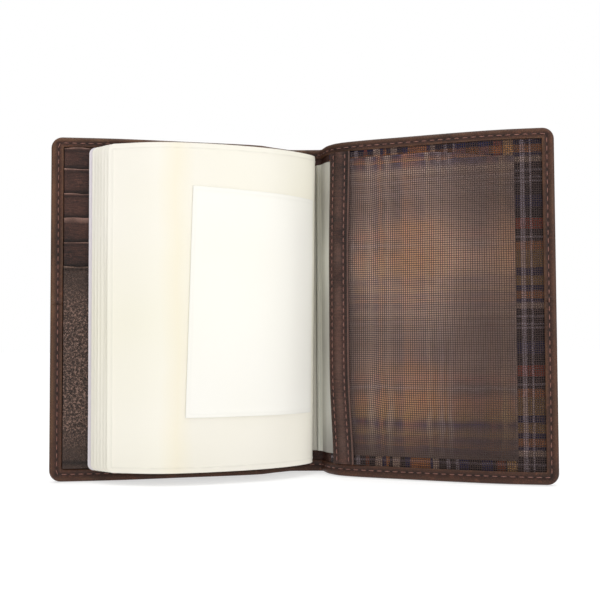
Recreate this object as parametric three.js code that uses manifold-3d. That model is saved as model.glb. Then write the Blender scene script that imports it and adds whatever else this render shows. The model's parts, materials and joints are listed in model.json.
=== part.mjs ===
// Passport and document wallet: a leather bifold cover with card slots, a net pocket and a
// welded vinyl insert of sleeve leaves. It stands open on its bottom edge like a greeting card.
// Millimetres, +Z up. +X runs from the slot side to the net side and -Y is the open side.
// The origin is the centre of the footprint, on the surface that the wallet stands on.
//
// Every sheet of the wallet is a vertical strip over a line drawn in plan. A plan point is
// [x, reach]: x to the right of the spine's datum, reach from the spine towards the open side.

import * as THREE from 'three';
import { mergeVertices } from 'three/addons/utils/BufferGeometryUtils.js';
import Module from 'manifold-3d';

const wasm = await Module();
wasm.setup();

// ---- Driving dimensions ----------------------------------------------------------------

const HEIGHT = 140;          // cover, bottom edge to top edge
const COVER_CORNER = 4.5;    // radius of the covers' outer corners
const LEAF_CORNER = 2.5;     // radius of the leaves' free corners
const GAP = 0.3;             // clearance between sheets that touch in the real wallet
const SLIT = 0.15;           // clearance at a fold where the sheets bend away from each other

const HIDE = 1.2;            // outer leather
const BOARD = 0.45;          // stiffener
const LINING = 0.3;          // cloth or leather lining
const VINYL = 0.3;           // tuck flaps and card pocket
const LEAF = 0.4;            // one sleeve leaf, two films
const BINDING = 0.6;         // each ply of the binding at the net pocket's mouth
const NET = 0.4;

const HEM_BOTTOM = 5;
const HEM_TOP = 4.2;
const HEM_SIDE = { left: 5.1, right: 4.8 };
const HEM_FACE = { left: 3.1, right: 2.5 };   // how far each hem stands off the outer leather
const HEM_SEAT = 2.7;        // width of the hem's solid rim, outside the lining's edge

const SLOT_LIPS = [126.9, 116.8, 106.8, 96.9];
const PANEL_LIP = 86.9;
const SLOT_TUCK = 2;         // how far a slot strip reaches down behind the next lip
const SLOT_SHEET = 0.45;
const PANEL_SHEET = 0.6;
const PANEL_START = 12;      // slot panel's free edge, from the fold

const BINDING_START = 3.3;   // free edge of the net pocket's mouth, from the cover's fold
const BINDING_WIDTH = 8.7;
const NET_BULGE = 1.6;       // how far the slack net stands off in the middle

const FLAP_LOW = 9;
const FLAP_HIGH = 132.7;
const FLAP_REACH = { left: 62, right: 79 };   // how far a tuck flap runs over its cover

const LEAF_COUNT = 7;
const LEAF_LOW = 4.7;
const LEAF_HIGH = 135.3;
const LEAF_FOOT = 3.1;       // where the leaves rise from the root bar
const ROOT_BAR = { from: -3.8, to: 5.6, low: FLAP_LOW, high: FLAP_HIGH };

const POCKET = { from: 9, to: 66, low: 26, high: 117.5 };   // along the top leaf, and in height

// Plan lines. The skin line is the inner face of the outer leather.
const FOLD = { left: [-6.2, 0], right: [8.8, 0] };           // the spine's two edges
const SHOULDER = { left: [-13.4, 5.4], right: [11.1, 8.6] }; // where the covers begin
const COVER_LINE = {
  left: [SHOULDER.left, [-22, 9.4], [-48.4, 16.2], [-76, 22.9], [-103.2, 26.8]],
  right: [SHOULDER.right, [16, 13.3], [23.5, 17.2], [40.2, 23.6], [76.6, 36.2], [99, 40.4]],
};

// The top and the bottom leaf. The leaves between them are evenly spaced.
const TOP_LEAF = [[2.7, LEAF_FOOT], [4.2, 9.5], [-5.8, 21.5], [-27, 33], [-55, 40.3], [-78, 36.8]];
const LOW_LEAF = [[-1.8, LEAF_FOOT], [-4.4, 10], [-12, 18.6], [-33, 25.5], [-62, 30], [-87.2, 29.8]];

// ---- Plan paths --------------------------------------------------------------------------

// A line in plan that can be asked for its point and its normal at any distance along it.
// The normal points to the open side, so a positive offset is nearer to the leaves.
function planPath(points, hand) {
  const curve = new THREE.CatmullRomCurve3(
    points.map(([x, reach]) => new THREE.Vector3(x, -reach, 0)), false, 'centripetal');
  curve.arcLengthDivisions = 400;
  const length = curve.getLength();
  const up = new THREE.Vector3(0, 0, hand);
  return {
    hand,
    length,
    at(distance, offset) {
      const share = THREE.MathUtils.clamp(distance / length, 0, 1);
      const tangent = curve.getTangentAt(share);
      const normal = new THREE.Vector3().crossVectors(tangent, up);
      return curve.getPointAt(share)
        .addScaledVector(tangent, distance - share * length)
        .addScaledVector(normal, offset);
    },
  };
}

const RIGHT = 1;
const LEFT = -1;
const spine = planPath([FOLD.left, FOLD.right], RIGHT);
const shoulder = {
  left: planPath([FOLD.left, SHOULDER.left], LEFT),
  right: planPath([FOLD.right, SHOULDER.right], RIGHT),
};
const cover = {
  left: planPath(COVER_LINE.left, LEFT),
  right: planPath(COVER_LINE.right, RIGHT),
};

// ---- Sheets --------------------------------------------------------------------------------

const CORNER_STEPS = 4;
const FACET = 5;             // all sheets over one plan path share their facet lines at this pitch

// Distances along a strip, each with how far the rounded corners cut into the height there.
function stations(from, to, radius) {
  const straight = to - radius;
  const list = [{ distance: from, inset: 0 }];
  const first = Math.floor(from / FACET) + 1;
  for (let line = first * FACET; line < straight - GAP; line += FACET) {
    if (line > from + GAP) list.push({ distance: line, inset: 0 });
  }
  list.push({ distance: straight, inset: 0 });
  for (let i = 1; radius > 0 && i <= CORNER_STEPS; i += 1) {
    const turn = (i / CORNER_STEPS) * (Math.PI / 2);
    list.push({ distance: straight + radius * Math.sin(turn), inset: radius * (1 - Math.cos(turn)) });
  }
  return list;
}

// A closed sheet over a plan path. near and far are its two faces' offsets from the path:
// numbers, or functions of the shares along and up the sheet.
function sheet(path, { from, to, low, high, near, far, radius = 0, rows = 1 }) {
  const list = stations(from, to, radius);
  const columns = list.length - 1;
  const box = new THREE.BoxGeometry(1, 1, 1, columns, rows, 1);
  const position = box.attributes.position;
  const offsetOf = (face, along, up) => (typeof face === 'function' ? face(along, up) : face);
  for (let i = 0; i < position.count; i += 1) {
    const along = position.getX(i) + 0.5;
    const up = position.getY(i) + 0.5;
    const station = list[Math.round(along * columns)];
    const face = position.getZ(i) > 0 ? far : near;
    const share = (station.distance - from) / (to - from);
    const point = path.at(station.distance, offsetOf(face, share, up));
    const z = THREE.MathUtils.lerp(low + station.inset, high - station.inset, up);
    position.setXYZ(i, point.x, point.y, z);
  }
  box.deleteAttribute('normal');
  box.deleteAttribute('uv');
  const geometry = mergeVertices(box, 1e-4);
  if (path.hand === LEFT) turnInsideOut(geometry);
  return geometry;
}

function turnInsideOut(geometry) {
  const index = geometry.index;
  for (let i = 0; i < index.count; i += 3) {
    const second = index.getX(i + 1);
    index.setX(i + 1, index.getX(i + 2));
    index.setX(i + 2, second);
  }
}

function toManifold(geometry) {
  return new wasm.Manifold(new wasm.Mesh({
    numProp: 3,
    vertProperties: new Float32Array(geometry.attributes.position.array),
    triVerts: new Uint32Array(geometry.index.array),
  }));
}

function toGeometry(manifold) {
  const mesh = manifold.getMesh();
  const geometry = new THREE.BufferGeometry();
  geometry.setAttribute('position', new THREE.BufferAttribute(mesh.vertProperties, 3));
  geometry.setIndex(new THREE.BufferAttribute(mesh.triVerts, 1));
  return geometry;
}

// ---- Materials and the model ---------------------------------------------------------------

const finish = (color, roughness) => ({ color, roughness, metalness: 0 });
const LEATHER = finish(0x4b3630, 0.55);
const PEBBLED_LEATHER = finish(0x5e4d45, 0.6);
const CARD = finish(0x8a7f72, 0.9);
const CLOTH = finish(0x3a2b28, 0.9);
const CHECKED_CLOTH = finish(0x7a5a48, 0.9);
const NETTING = finish(0x86695c, 0.7);
const CLEAR_VINYL = finish(0xf6f2e4, 0.35);
const GREY_VINYL = finish(0x9f9a90, 0.4);

const wallet = new THREE.Group();

function add(name, geometry, look) {
  geometry.computeVertexNormals();
  const mesh = new THREE.Mesh(geometry, new THREE.MeshStandardMaterial(look));
  mesh.name = name;
  wallet.add(mesh);
}

// ---- Spine: root of the wallet -------------------------------------------------------------

const LINING_NEAR = GAP;
const SHOULDER_LINING = 0.6;
const FOLD_RELIEF = 1.3;     // linings stop this far from a fold that closes on them
const HINGE_RELIEF = 0.8;    // outer leather stops this far from a fold that opens on it

add('spine_leather', sheet(spine, {
  from: SLIT, to: spine.length - SLIT, low: 0, high: HEIGHT, near: -HIDE, far: 0,
}), LEATHER);

add('spine_lining', sheet(spine, {
  from: FOLD_RELIEF,
  to: spine.length - FOLD_RELIEF,
  low: HEM_BOTTOM,
  high: HEIGHT - HEM_TOP,
  near: LINING_NEAR,
  far: LINING_NEAR + SHOULDER_LINING,
}), LEATHER);

const rootBarNear = LINING_NEAR + SHOULDER_LINING + GAP;
add('insert_root_bar', sheet(spine, {
  from: ROOT_BAR.from - FOLD.left[0],
  to: ROOT_BAR.to - FOLD.left[0],
  low: ROOT_BAR.low,
  high: ROOT_BAR.high,
  near: rootBarNear,
  far: LEAF_FOOT - GAP,
}), CLEAR_VINYL);

// ---- Shoulders and covers: what both sides share -------------------------------------------

const boardFar = GAP + BOARD;
const liningNear = boardFar + GAP;
const liningFar = liningNear + LINING;
const flapNear = liningFar + GAP;
const flapFar = flapNear + VINYL;

// The turned edge of the outer leather: a rim along three sides, with a lip over the lining.
function hem(side) {
  const path = cover[side];
  const face = HEM_FACE[side];
  const past = 4;
  const blank = toManifold(sheet(path, {
    from: HINGE_RELIEF + SLIT, to: path.length, low: 0, high: HEIGHT,
    near: GAP, far: face, radius: COVER_CORNER,
  }));
  const window = toManifold(sheet(path, {
    from: -past, to: path.length - HEM_SIDE[side], low: HEM_BOTTOM, high: HEIGHT - HEM_TOP,
    near: -past, far: face + past,
  }));
  const seat = toManifold(sheet(path, {
    from: -past, to: path.length - HEM_SEAT, low: HEM_SEAT, high: HEIGHT - HEM_SEAT,
    near: -past, far: liningFar + GAP,
  }));
  return toGeometry(blank.subtract(window).subtract(seat));
}

const LINING_MARGIN = HEM_SEAT + GAP;

for (const side of ['left', 'right']) {
  const fold = shoulder[side];
  const path = cover[side];
  const inside = { low: LINING_MARGIN, high: HEIGHT - LINING_MARGIN, to: path.length - LINING_MARGIN };

  add(`${side}_shoulder_leather`, sheet(fold, {
    from: SLIT, to: fold.length - HINGE_RELIEF, low: 0, high: HEIGHT, near: -HIDE, far: 0,
  }), LEATHER);
  add(`${side}_shoulder_lining`, sheet(fold, {
    from: FOLD_RELIEF,
    to: fold.length - HINGE_RELIEF,
    low: HEM_BOTTOM,
    high: HEIGHT - HEM_TOP,
    near: LINING_NEAR,
    far: LINING_NEAR + SHOULDER_LINING,
  }), LEATHER);
  add(`${side}_flap_root`, sheet(fold, {
    from: FOLD_RELIEF + GAP,
    to: fold.length - HINGE_RELIEF,
    low: FLAP_LOW,
    high: FLAP_HIGH,
    near: flapNear,
    far: flapFar,
  }), GREY_VINYL);

  add(`${side}_cover_leather`, sheet(path, {
    from: HINGE_RELIEF, to: path.length, low: 0, high: HEIGHT,
    near: -HIDE, far: 0, radius: COVER_CORNER,
  }), LEATHER);
  add(`${side}_hem`, hem(side), LEATHER);
  add(`${side}_stiffener`, sheet(path, {
    ...inside, from: 3, near: GAP, far: boardFar, radius: 3,
  }), CARD);
  add(`${side}_tuck_flap`, sheet(path, {
    from: 1.5, to: FLAP_REACH[side], low: FLAP_LOW, high: FLAP_HIGH,
    near: flapNear, far: flapFar,
  }), GREY_VINYL);
  add(side === 'left' ? 'left_lining' : 'checked_lining', sheet(path, {
    ...inside, from: 1.5, near: liningNear, far: liningFar, radius: 3,
  }), side === 'left' ? CLOTH : CHECKED_CLOTH);
}

// ---- Left cover: card slots ------------------------------------------------------------------

const slotBack = flapFar + GAP;
const slotLean = SLOT_SHEET + GAP + 0.1;    // a lip stands this much further out than a strip's foot
const slotSpan = {
  from: PANEL_START,
  to: cover.left.length - HEM_SIDE.left - GAP,
};

function slotStrip(low, high) {
  return sheet(cover.left, {
    ...slotSpan, low, high,
    near: (along, up) => slotBack + slotLean * up,
    far: (along, up) => slotBack + slotLean * up + SLOT_SHEET,
  });
}

add('slot_base_strip', slotStrip(SLOT_LIPS[0] - SLOT_TUCK, HEIGHT - HEM_TOP - GAP), LEATHER);
SLOT_LIPS.forEach((lip, i) => {
  const nextLip = SLOT_LIPS[i + 1] ?? PANEL_LIP;
  add(`card_slot_${i + 1}`, slotStrip(nextLip - SLOT_TUCK, lip), LEATHER);
});
add('front_panel', sheet(cover.left, {
  ...slotSpan,
  low: HEM_BOTTOM + GAP,
  high: PANEL_LIP,
  near: slotBack + slotLean,
  far: slotBack + slotLean + PANEL_SHEET,
}), PEBBLED_LEATHER);

// ---- Right cover: net pocket -----------------------------------------------------------------

const pocketWall = { low: HEM_BOTTOM + GAP, high: HEIGHT - HEM_TOP - GAP };
const backPlyNear = flapFar + GAP;
const netNear = backPlyNear + BINDING + GAP;

add('binding_back_ply', sheet(cover.right, {
  ...pocketWall, from: BINDING_START, to: BINDING_START + BINDING_WIDTH - 1.5,
  near: backPlyNear, far: backPlyNear + BINDING,
}), LEATHER);
add('binding_front_ply', sheet(cover.right, {
  ...pocketWall, from: BINDING_START, to: BINDING_START + BINDING_WIDTH,
  near: netNear + NET + GAP, far: netNear + NET + GAP + BINDING,
}), LEATHER);

// The net is held flat between the two plies, and hangs slack beyond them.
const netFrom = BINDING_START + 2;
const netTo = cover.right.length - HEM_SIDE.right - GAP;
const heldShare = (BINDING_START + BINDING_WIDTH - netFrom + FACET) / (netTo - netFrom);
function slack(along, up) {
  const free = Math.max(0, (along - heldShare) / (1 - heldShare));
  return NET_BULGE * Math.sin(Math.PI * free) * Math.sin(Math.PI * up);
}

add('net_panel', sheet(cover.right, {
  ...pocketWall,
  from: netFrom,
  to: netTo,
  near: (along, up) => netNear + slack(along, up),
  far: (along, up) => netNear + slack(along, up) + NET,
  rows: 6,
}), NETTING);

// ---- Insert: sleeve leaves -------------------------------------------------------------------

// Leaf 1 is on top, nearest to the open side.
function leafPath(number) {
  const share = (number - 1) / (LEAF_COUNT - 1);
  const points = TOP_LEAF.map(([x, reach], i) => [
    THREE.MathUtils.lerp(x, LOW_LEAF[i][0], share),
    THREE.MathUtils.lerp(reach, LOW_LEAF[i][1], share),
  ]);
  return planPath(points, LEFT);
}

for (let number = 1; number <= LEAF_COUNT; number += 1) {
  const path = leafPath(number);
  add(`leaf_${number}`, sheet(path, {
    from: 0, to: path.length, low: LEAF_LOW, high: LEAF_HIGH,
    near: -LEAF / 2, far: LEAF / 2, radius: LEAF_CORNER,
  }), CLEAR_VINYL);
}

add('card_pocket', sheet(leafPath(1), {
  ...POCKET, near: LEAF / 2 + GAP, far: LEAF / 2 + GAP + VINYL,
}), CLEAR_VINYL);

// ---- Origin: centre of the footprint ---------------------------------------------------------

const extent = new THREE.Box3().setFromObject(wallet);
const centre = extent.getCenter(new THREE.Vector3());
wallet.position.set(-centre.x, -centre.y, -extent.min.z);

export default wallet;
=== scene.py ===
"""The looks of a leather travel wallet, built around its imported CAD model.

Every sheet of the wallet is drawn flat, as it was cut, and then bent along a line in plan. A flat
point is (u, z, offset) in millimetres: u runs along the line, z is the height, and offset is the
distance towards the open side. Each mesh keeps its flat points in the attribute "flat", which the
materials read, so that grain, weave and checks stay on their sheet as the wallet moves.
"""

import json
import math

import bmesh
import bpy
import numpy as np
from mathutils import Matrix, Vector


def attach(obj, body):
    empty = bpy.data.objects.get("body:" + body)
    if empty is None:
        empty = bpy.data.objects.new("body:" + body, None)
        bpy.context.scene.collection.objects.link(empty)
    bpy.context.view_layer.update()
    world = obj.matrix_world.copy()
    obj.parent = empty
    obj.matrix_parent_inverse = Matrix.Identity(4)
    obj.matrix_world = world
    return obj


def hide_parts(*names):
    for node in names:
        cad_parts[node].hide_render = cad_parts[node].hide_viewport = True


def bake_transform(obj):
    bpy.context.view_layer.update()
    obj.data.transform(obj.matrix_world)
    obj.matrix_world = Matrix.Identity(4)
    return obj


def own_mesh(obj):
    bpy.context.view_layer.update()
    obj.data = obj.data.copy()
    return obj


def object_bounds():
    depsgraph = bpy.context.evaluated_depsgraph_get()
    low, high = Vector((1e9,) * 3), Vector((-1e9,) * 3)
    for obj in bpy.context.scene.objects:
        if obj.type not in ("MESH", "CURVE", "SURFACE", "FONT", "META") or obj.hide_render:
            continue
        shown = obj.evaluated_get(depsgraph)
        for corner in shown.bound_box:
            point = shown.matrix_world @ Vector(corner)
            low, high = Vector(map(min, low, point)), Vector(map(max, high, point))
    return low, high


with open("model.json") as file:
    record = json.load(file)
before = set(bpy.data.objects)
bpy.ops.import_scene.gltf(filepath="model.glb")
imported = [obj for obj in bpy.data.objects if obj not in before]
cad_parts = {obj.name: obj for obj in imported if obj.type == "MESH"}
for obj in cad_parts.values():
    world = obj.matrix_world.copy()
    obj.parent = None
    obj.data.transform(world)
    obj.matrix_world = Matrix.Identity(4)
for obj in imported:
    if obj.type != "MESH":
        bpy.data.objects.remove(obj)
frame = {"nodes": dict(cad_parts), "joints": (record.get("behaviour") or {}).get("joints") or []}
cad_low, cad_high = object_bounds()

MM = 0.001
SIDES = ("left", "right")

# ---- Sizes, in millimetres ----

HEIGHT = (cad_high.z - cad_low.z) / MM
CORNER = 4.5
CORNER_ZONE = 6.2         # the square at each corner in which the hem's lines turn
LEAF_CORNER = 2.5
HIDE = 1.2
SPINE = 15.0

# Plan points are (x, reach): x to the right of the spine's datum, reach towards the open side.
FOLD = {"left": (-6.2, 0.0), "right": (8.8, 0.0)}
SHOULDER = {"left": (-13.4, 5.4), "right": (11.1, 8.6)}
COVER = {
    "left": [SHOULDER["left"], (-22, 9.4), (-48.4, 16.2), (-76, 22.9), (-103.2, 26.8)],
    "right": [SHOULDER["right"], (16, 13.3), (23.5, 17.2), (40.2, 23.6), (76.6, 36.2), (99, 40.4)],
}
TOP_LEAF = [(2.7, 3.1), (4.2, 9.5), (-5.8, 21.5), (-27, 33), (-55, 40.3), (-78, 36.8)]
LOW_LEAF = [(-1.8, 3.1), (-4.4, 10), (-12, 18.6), (-33, 25.5), (-62, 30), (-87.2, 29.8)]
LEAF_COUNT = 7

HEM = {"left": (5.0, 5.1, 4.2), "right": (5.0, 4.8, 4.2)}      # at the bottom, side and top
HEM_FACE = {"left": 3.1, "right": 2.5}
GUTTER_FACE = 1.6                                              # the hem across spine and shoulders
SEAT = {"left": 1.65, "right": 1.9}                            # underside of the hem's lip
GUTTER_SEAT = 1.0
STITCH_SHARE = 0.6                                             # stitch row's place across the hem
STITCH_PITCH = 3.3

LINING = (1.05, 1.35)
GUTTER_LINING = (0.3, 0.9)
FLAP = (1.65, 1.95)
FLAP_LOW, FLAP_HIGH = 9.0, 132.7
FLAP_REACH = {"left": 62.0, "right": 79.0}
SLOT_LIPS = (126.9, 116.8, 106.8, 96.9)
PANEL_LIP = 86.9
PANEL_START = 12.0
SEAM = 71.5                                                    # height of the covers' cross seam
SEAM_ROWS = (2.6, -2.1)                                        # its stitch rows' heights from it

# ---- Plan lines ----

LINE_STEP = 0.1
FOLD_SOFTNESS = 1.3


def smooth_line(points, samples=40):
    """A centripetal Catmull-Rom curve through the points."""
    p = np.array(points, float)
    p = np.vstack([2 * p[0] - p[1], p, 2 * p[-1] - p[-2]])
    gap = np.sqrt(np.linalg.norm(np.diff(p, axis=0), axis=1))
    t = np.linspace(0, 1, samples, endpoint=False)[:, None]
    curve = []
    for i in range(1, len(p) - 2):
        before, here, after = gap[i - 1], gap[i], gap[i + 1]
        span = (p[i + 1] - p[i]) / here
        leave = (p[i] - p[i - 1]) / before - (p[i + 1] - p[i - 1]) / (before + here) + span
        arrive = span - (p[i + 2] - p[i]) / (here + after) + (p[i + 2] - p[i + 1]) / after
        curve.append(
            (2 * t**3 - 3 * t**2 + 1) * p[i] + (t**3 - 2 * t**2 + t) * leave * here
            + (3 * t**2 - 2 * t**3) * p[i + 1] + (t**3 - t**2) * arrive * here
        )
    return np.vstack([*curve, p[-2:-1]])


def evenly(points):
    """Points at every step of length along a polyline, and their distances."""
    along = np.concatenate([[0], np.cumsum(np.linalg.norm(np.diff(points, axis=0), axis=1))])
    u = np.linspace(0, along[-1], round(along[-1] / LINE_STEP) + 1)
    return np.column_stack([np.interp(u, along, points[:, k]) for k in (0, 1)]), u


def rounded(points, softness):
    """Evenly spaced points with their corners rounded by a running mean."""
    reach = round(3 * softness / LINE_STEP)
    weights = np.exp(-0.5 * (np.arange(-reach, reach + 1) * LINE_STEP / softness) ** 2)
    head = points[0] + np.arange(-reach, 0)[:, None] * (points[1] - points[0])
    tail = points[-1] + np.arange(1, reach + 1)[:, None] * (points[-1] - points[-2])
    padded = np.vstack([head, points, tail])
    mean = [np.convolve(padded[:, k], weights / weights.sum(), "valid") for k in (0, 1)]
    return np.column_stack(mean)


class PlanLine:
    """A line in plan that flat pieces are bent along."""

    def __init__(self, points, u, hand):
        self.points, self.u, self.length = points, u, u[-1]
        tangent = np.gradient(points, u, axis=0)
        tangent /= np.linalg.norm(tangent, axis=1)[:, None]
        self.normal = hand * np.column_stack([tangent[:, 1], -tangent[:, 0]])

    def place(self, flat):
        """Flat points as points of the row frame, in metres."""
        u, z, offset = flat.T
        plan = [
            np.interp(u, self.u, self.points[:, k]) + offset * np.interp(u, self.u, self.normal[:, k])
            for k in (0, 1)
        ]
        return np.column_stack([*plan, z]) * MM

    def spot(self, u):
        """The line's own point at u, at height 0, in metres."""
        return self.place(np.array([[u, 0.0, 0.0]]))[0]


def datum():
    """The plan datum's place in the row frame, in millimetres."""
    joint = next(j for j in frame["joints"] if j["name"] == "left_fold_at_spine")
    return np.array([joint["pos_m"][0] / MM - FOLD["left"][0], joint["pos_m"][1] / MM])


def to_frame(points):
    """Plan points (x, reach) as X and Y of the row frame, in millimetres."""
    return np.array(points, float) * (1, -1) + datum()


def skin_lines():
    """The inner face of the outer leather: the whole line, and each side from the spine's middle."""
    left = smooth_line(COVER["left"])[::-1]
    right = smooth_line(COVER["right"])
    points, u = evenly(to_frame(np.vstack([left, FOLD["left"], FOLD["right"], right])))
    middle = (FOLD["left"][0] + FOLD["right"][0]) / 2 + datum()[0]
    u = u - np.interp(middle, *rising(points[:, 0], u))
    soft = rounded(points, FOLD_SOFTNESS)
    at_middle = np.searchsorted(u, 0.0)
    soft = np.insert(soft, at_middle, [np.interp(0.0, u, soft[:, k]) for k in (0, 1)], axis=0)
    u = np.insert(u, at_middle, 0.0)
    return {
        "whole": PlanLine(soft, u, 1),
        "right": PlanLine(soft[u >= 0], u[u >= 0], 1),
        "left": PlanLine(soft[u <= 0][::-1], -u[u <= 0][::-1], -1),
    }


def rising(x, u):
    """Both in order of x, as np.interp needs them."""
    order = np.argsort(x, kind="stable")
    return x[order], u[order]


def leaf_line(number):
    share = (number - 1) / (LEAF_COUNT - 1)
    points = (1 - share) * np.array(TOP_LEAF) + share * np.array(LOW_LEAF)
    return PlanLine(*evenly(to_frame(smooth_line(points))), -1)


SKIN = skin_lines()
FOLD_U = SPINE / 2
COVER_U = {
    side: FOLD_U + math.dist(FOLD[side], SHOULDER[side]) for side in SIDES
}
MID_SHOULDER = {side: (FOLD_U + COVER_U[side]) / 2 for side in SIDES}
TIP_U = {side: SKIN[side].length for side in SIDES}

# ---- Shapes of small relief ----


def bell(x, width):
    return np.exp(-0.5 * (x / width) ** 2)


def ease(x, start, end):
    """From 0 at start to 1 at end, smoothly."""
    t = np.clip((x - start) / (end - start), 0, 1)
    return t * t * (3 - 2 * t)


def ripple(u, z, size, seed):
    """A soft unevenness between about -1 and 1, with waves about size long."""
    rng = np.random.default_rng(seed)
    total = 0
    for _ in range(5):
        angle, phase = rng.uniform(0, 2 * math.pi, 2)
        length = size * rng.uniform(0.7, 1.6)
        total = total + np.sin((u * math.cos(angle) + z * math.sin(angle)) * 2 * math.pi / length + phase)
    return total / 3


SEAM_RELIEF = [
    # (height from the seam, half width, rise): the overlap, its groove, and the two sunk stitch rows
    (0.9, 0.45, 0.35), (0.0, 0.3, -0.4), (SEAM_ROWS[0], 0.4, -0.18), (SEAM_ROWS[1], 0.5, -0.18),
]


def cross_seam(z):
    """How far the covers' cross seam stands out at a height."""
    return sum(rise * bell(z - SEAM - above, width) for above, width, rise in SEAM_RELIEF)


# ---- Meshes ----

SHARP_ANGLE = math.radians(50)


def merged(flat, faces):
    """Joins points that coincide, and drops the faces that vanish with them."""
    _, first, where = np.unique(np.round(flat, 4), axis=0, return_index=True, return_inverse=True)
    where = where.reshape(-1)
    kept = []
    for face in faces:
        ring = [int(where[i]) for i in face]
        ring = [a for k, a in enumerate(ring) if a != ring[k - 1]]
        if len(set(ring)) == len(ring) > 2:
            kept.append(ring)
    return flat[first], kept


def make_piece(name, flat, faces, line, material, slot, painted_light_and_tint=None):
    """One object from flat points and faces, bent along its line, with its faces pointing out.
    The kept flat points run on through the spine's middle, so that the hide's marks do too.
    The last argument, if given, gives two shares for each flat point: painted highlight and lighter tint,
    and painted shade and dark lines."""
    mesh = bpy.data.meshes.new(name)
    mesh.from_pydata(line.place(flat).tolist(), [], faces)
    kept = flat * (-1, 1, 1) if line is SKIN["left"] else flat
    mesh.attributes.new("flat", "FLOAT_VECTOR", "POINT").data.foreach_set("vector", kept.ravel())
    if painted_light_and_tint:
        for key, share in zip(("highlight_and_tint", "shade"), painted_light_and_tint(flat)):
            mesh.attributes.new(key, "FLOAT", "POINT").data.foreach_set("value", np.clip(share, 0, 1))
    bm = bmesh.new()
    bm.from_mesh(mesh)
    bmesh.ops.recalc_face_normals(bm, faces=bm.faces)
    bm.to_mesh(mesh)
    bm.free()
    mesh.shade_smooth()
    mesh.set_sharp_from_angle(angle=SHARP_ANGLE)
    mesh.materials.append(material)
    piece = bpy.data.objects.new(name, mesh)
    bpy.context.scene.collection.objects.link(piece)
    return piece


def grid_faces(rows, columns, first=0, closed=False):
    """Quads between neighbouring rows of points. closed joins each row's last point to its first."""
    wide = columns if closed else columns - 1
    return [
        (
            first + r * columns + c,
            first + r * columns + (c + 1) % columns,
            first + (r + 1) * columns + (c + 1) % columns,
            first + (r + 1) * columns + c,
        )
        for r in range(rows - 1)
        for c in range(wide)
    ]


def tube_faces(rings, sides, first=0):
    """The faces of a tube, given as rings of points, with flat ends."""
    last = first + (rings - 1) * sides
    ends = [tuple(range(ring, ring + sides)) for ring in (first, last)]
    return grid_faces(rings, sides, first, closed=True) + ends


def grid_lines(start, end, pitch, fine=(), fine_pitch=0.5):
    """Grid lines from start to end, with a finer pitch within the given (low, high) stretches."""
    lines = [start]
    while lines[-1] < end - 1e-6:
        step = fine_pitch if any(low <= lines[-1] < high for low, high in fine) else pitch
        stops = [low for low, _ in fine if lines[-1] < low - 1e-6]
        lines.append(min([lines[-1] + step, end, *stops]))
    if len(lines) > 2 and lines[-1] - lines[-2] < fine_pitch / 3:
        lines.pop(-2)
    return np.array(lines)


def corner_lines(lines, radius, steps=6):
    """The grid lines, ending with those that a rounded corner needs."""
    end = lines[-1]
    turn = np.linspace(0, math.pi / 2, steps + 1)
    return np.concatenate([lines[lines < end - radius - 1e-6], end - radius + radius * np.sin(turn)])


def level(value, u, z):
    """An offset at flat places: a function of (u, z), or one number for all."""
    return value(u, z) if callable(value) else np.full(u.shape, float(value))


def slab(stations, heights, near, far, radius=0.0, rim=0.15):
    """A closed sheet between two offsets, which may be functions of (u, z). Its rim is rounded,
    and radius rounds the two corners at its last station."""

    def outline(shrink):
        u = np.clip(stations, stations[0] + shrink, stations[-1] - shrink)
        bend = max(radius - shrink, 0.0)
        past = np.clip(u - (u[-1] - bend), 0, bend)
        inset = bend - np.sqrt(bend**2 - past**2) + shrink
        low, high = heights[0] + inset, heights[-1] - inset
        share = (heights - heights[0]) / (heights[-1] - heights[0])
        z = low[:, None] + share[None, :] * (high - low)[:, None]
        return np.repeat(u[:, None], len(heights), axis=1), z

    u, z = outline(rim)
    bottom, top = level(near, u, z), level(far, u, z)
    full_u, full_z = outline(0.0)
    middle = (level(near, full_u, full_z) + level(far, full_u, full_z)) / 2
    rows, columns = u.shape
    edge = [(r, 0) for r in range(rows)] + [(rows - 1, c) for c in range(1, columns)]
    edge += [(r, columns - 1) for r in range(rows - 2, -1, -1)]
    edge += [(0, c) for c in range(columns - 2, 0, -1)]
    at = tuple(np.array(edge).T)
    flat = np.vstack([
        np.column_stack([u.ravel(), z.ravel(), bottom.ravel()]),
        np.column_stack([u.ravel(), z.ravel(), top.ravel()]),
        np.column_stack([full_u[at], full_z[at], middle[at]]),
    ])
    count = rows * columns
    faces = grid_faces(rows, columns) + grid_faces(rows, columns, count)
    place = [r * columns + c for r, c in edge]
    for k in range(len(edge)):
        a, b = place[k], place[(k + 1) % len(edge)]
        rim_a, rim_b = 2 * count + k, 2 * count + (k + 1) % len(edge)
        faces += [(a, b, rim_b, rim_a), (rim_a, rim_b, count + b, count + a)]
    return merged(flat, faces)


def sleeve(section, heights, shift=None):
    """A closed section of (u, offset) points carried up through the heights, with flat ends.
    shift moves it along u, as a function of height."""
    section = np.array(section, float)
    rings = []
    for z in heights:
        moved = section + ((shift(z), 0.0) if shift else (0.0, 0.0))
        rings.append(np.column_stack([moved[:, 0], np.full(len(section), z), moved[:, 1]]))
    return np.vstack(rings), tube_faces(len(heights), len(section))


# ---- Stitches ----

STITCH_SIDES = 6
STITCH_RINGS = 5
STITCH_THICKNESS = 0.42
STITCH_RISE = 0.24       # how far its middle stands off the sheet


def along_track(track, pitch):
    """Places and directions at every pitch along a flat polyline."""

    def points(distances):
        return np.column_stack([np.interp(distances, far, track[:, k]) for k in range(3)])

    steps = np.linalg.norm(np.diff(track[:, :2], axis=0), axis=1)
    far = np.concatenate([[0], np.cumsum(steps)])
    count = max(int(far[-1] // pitch), 1)
    at = (np.arange(count) + 0.5) * far[-1] / count
    way = (points(at + 0.3) - points(at - 0.3))[:, :2]
    return points(at), way / np.linalg.norm(way, axis=1)[:, None]


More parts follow.
